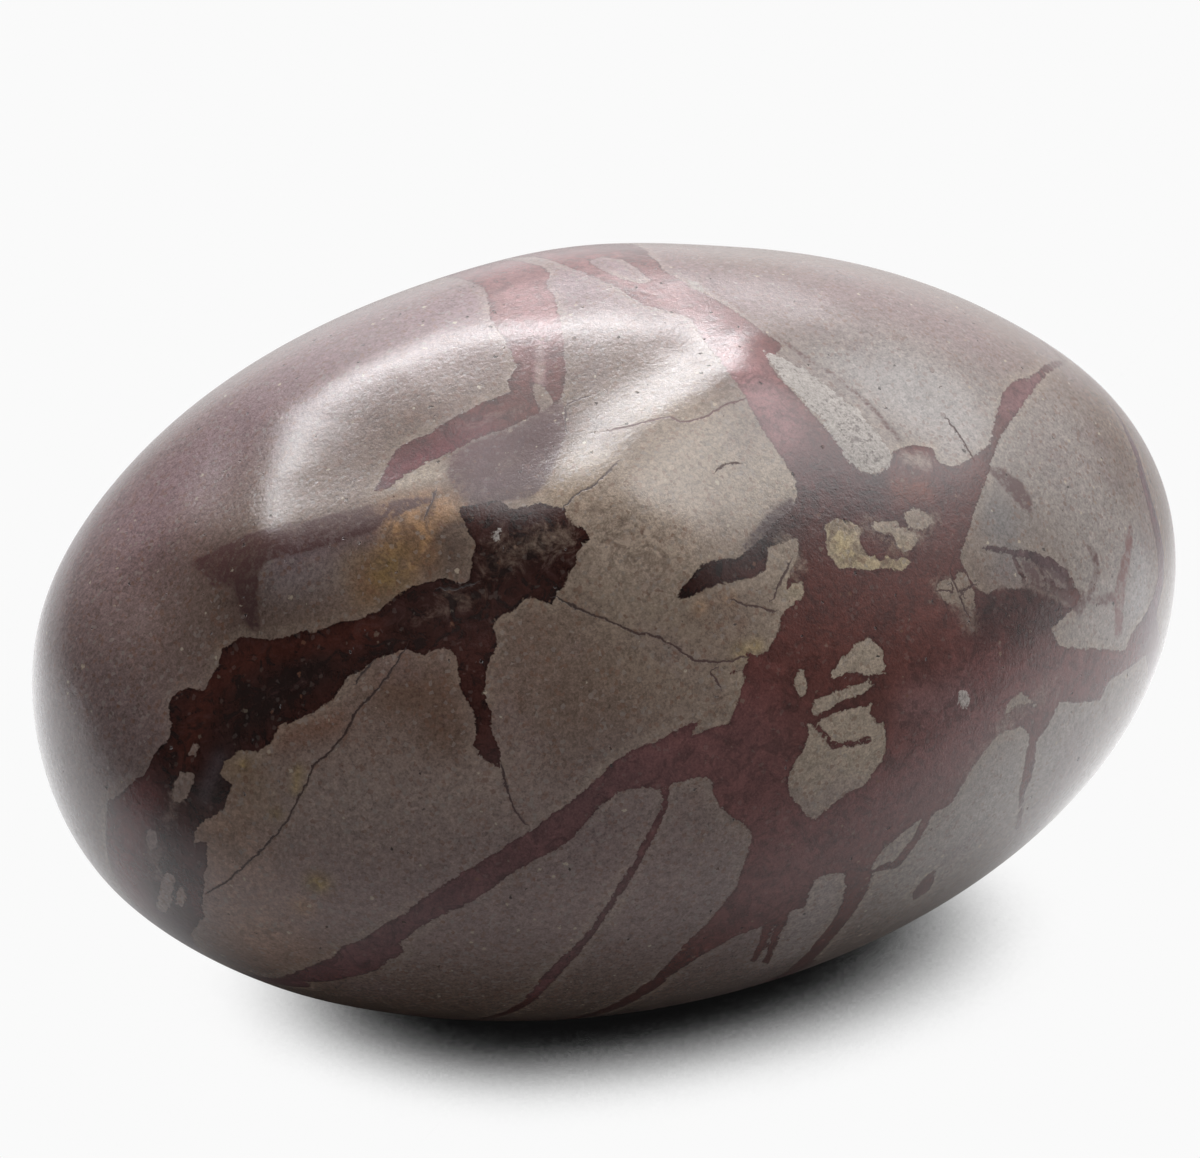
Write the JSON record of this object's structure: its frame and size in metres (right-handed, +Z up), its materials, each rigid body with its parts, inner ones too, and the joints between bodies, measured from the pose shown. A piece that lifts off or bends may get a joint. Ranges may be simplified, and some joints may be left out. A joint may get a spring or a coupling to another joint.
{
  "type": "shiva lingam stone",
  "caption": "Solid egg-shaped river stone, ground smooth and lightly polished, with soft ridges and a shallow dish, resting on a small worn flat on its underside.",
  "frame": {"origin": "middle of the small flat on the underside that the stone rests on", "axes": "+X along the stone's long axis towards the end that lies slightly raised, +Z up from the resting flat, +Y across the stone to its back"},
  "size_m": [0.1236, 0.081, 0.0769],
  "materials": {
    "stone": "satin"
  },
  "bodies": {
    "root": {"stone": "stone"}
  },
  "joints": []
}
